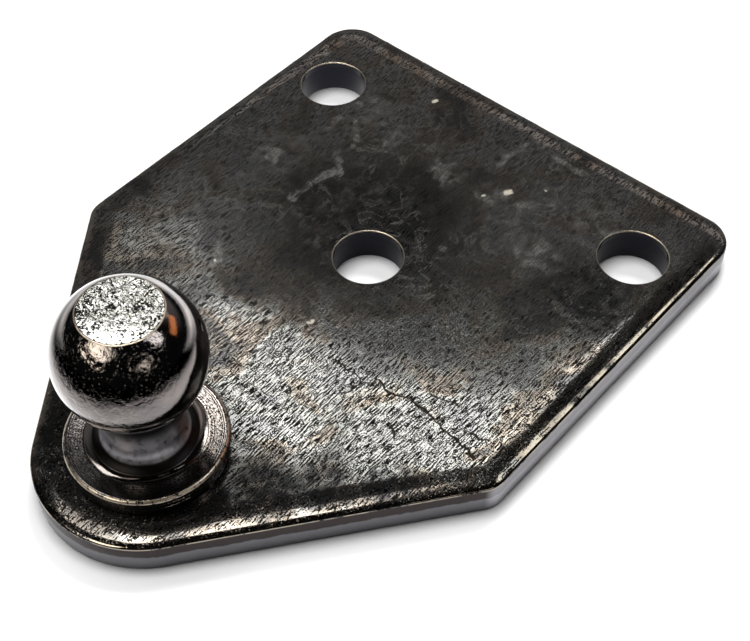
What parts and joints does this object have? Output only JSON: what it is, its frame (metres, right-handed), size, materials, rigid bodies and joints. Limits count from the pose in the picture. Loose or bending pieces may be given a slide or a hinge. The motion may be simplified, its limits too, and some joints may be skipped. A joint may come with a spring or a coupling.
{
  "type": "ball stud bracket",
  "caption": "Flat punched steel plate with screw holes and a tapered round nose, carrying a riveted ball stud on a collar, on which a gas spring's end socket pivots.",
  "frame": {"origin": "middle of the plate's outline box on its flat back face, which lies against what the bracket is screwed to", "axes": "+Z out of the plate's front along the ball stud, +Y along the plate towards its wide edge, nose and stud towards -Y, X across the plate"},
  "size_m": [0.0396, 0.0506, 0.0167],
  "materials": {
    "plate_black_zinc": "black zinc over rolled steel sheet, satin, with brown and grey stains and worn lighter edges",
    "stud_black_zinc": "black zinc over turned steel, glossy, with lathe rings on the collar"
  },
  "bodies": {
    "root": {"mounting_plate": "plate_black_zinc", "ball_stud": "stud_black_zinc"}
  },
  "joints": []
}
